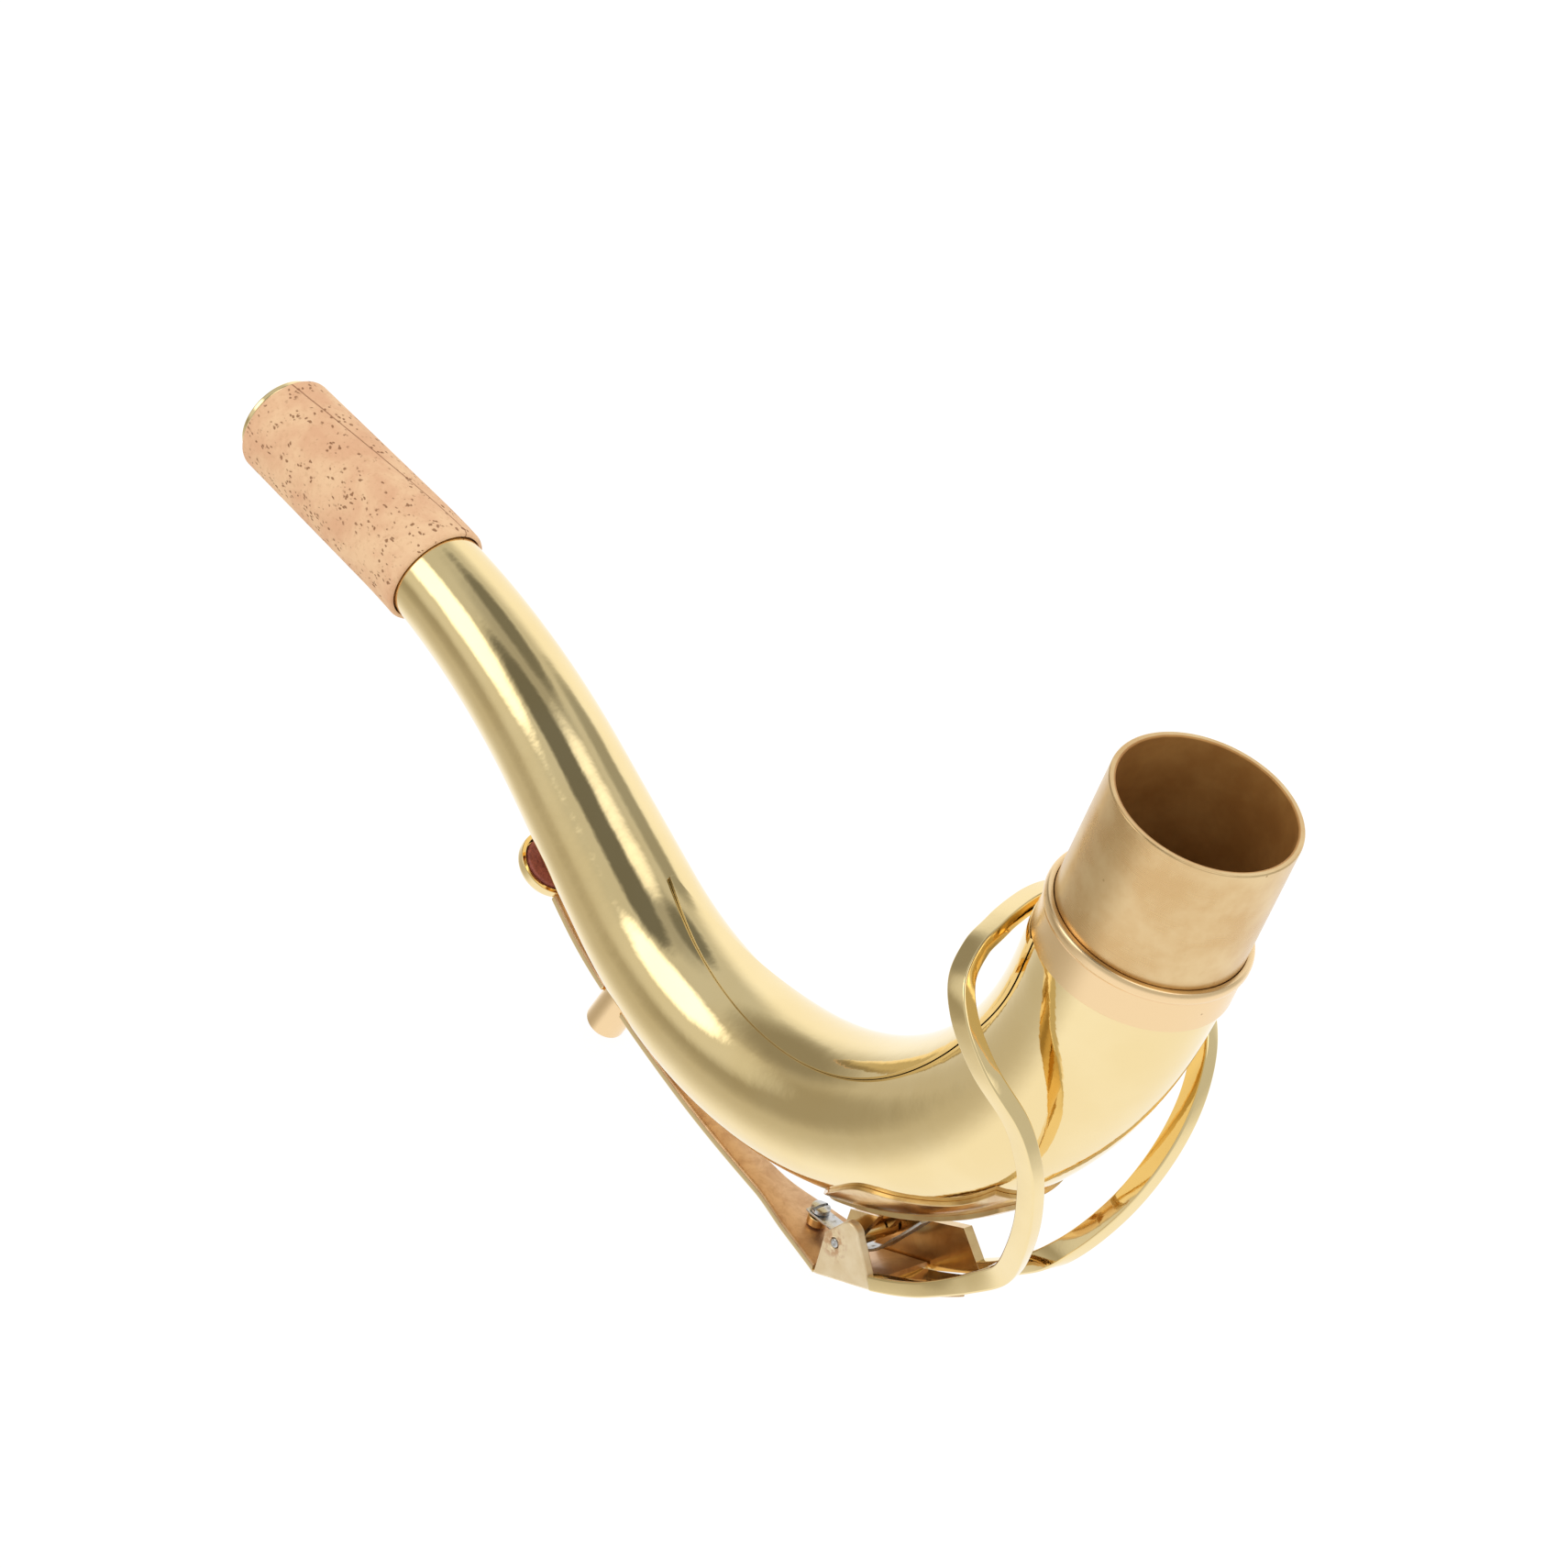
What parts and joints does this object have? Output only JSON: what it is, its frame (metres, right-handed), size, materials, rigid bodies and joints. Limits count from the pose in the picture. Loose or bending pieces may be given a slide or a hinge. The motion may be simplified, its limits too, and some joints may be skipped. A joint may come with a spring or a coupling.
{
  "type": "saxophone neck",
  "caption": "Bent tapered brass neck of a tenor saxophone: plain tenon with collar, corked mouthpiece end, leaf brace, and a sprung octave key with a ring round the tube.",
  "frame": {"origin": "centre of the tenon's open end", "axes": "+Z points out of the tenon's open end along its axis; the tube hangs below the origin and bends towards -X, where the mouthpiece end lies; the octave key's hinge pin lies along Y, with its key on the outside of the bend"},
  "size_m": [0.1916, 0.0442, 0.1142],
  "materials": {
    "lacquered_brass": "polished, clear gold lacquer",
    "satin_brass": "satin",
    "steel": "blued and bright steel",
    "cork": "sanded natural cork",
    "pad_leather": "matt",
    "pad_card": "pressed card and felt"
  },
  "bodies": {
    "neck": {"neck_tube": "lacquered_brass", "tenon_sleeve": "satin_brass", "tenon_collar": "satin_brass", "tip_ring": "lacquered_brass", "mouthpiece_cork": "cork", "under_brace": "lacquered_brass", "pip_base": "lacquered_brass", "octave_pip": "lacquered_brass", "saddle_foot": "lacquered_brass", "saddle_doubler": "lacquered_brass", "near_saddle_leg": "lacquered_brass", "far_saddle_leg": "lacquered_brass", "hinge_barrel": "lacquered_brass"},
    "octave_key": {"hinge_pin": "steel", "near_ear": "lacquered_brass", "far_ear": "lacquered_brass", "key_arm": "lacquered_brass", "cup_arm": "lacquered_brass", "bumper_socket": "satin_brass", "bumper_cork": "cork", "pad_cup": "lacquered_brass", "pad_backing": "pad_card", "pad_leather": "pad_leather", "key_plate": "lacquered_brass", "key_ring": "lacquered_brass", "spring_boss": "lacquered_brass", "spring_screw": "steel", "flat_spring": "steel"}
  },
  "joints": [
    {"name": "octave_key_hinge", "type": "hinge", "parent": "neck", "child": "octave_key", "pos_m": [-0.01909, 0, -0.10107], "axis": [0, -1, 0], "range_deg": [0, 5], "stiffness_Nm_per_rad": 0.1, "springref_deg": -17.19, "deforming": ["flat_spring"]}
  ]
}
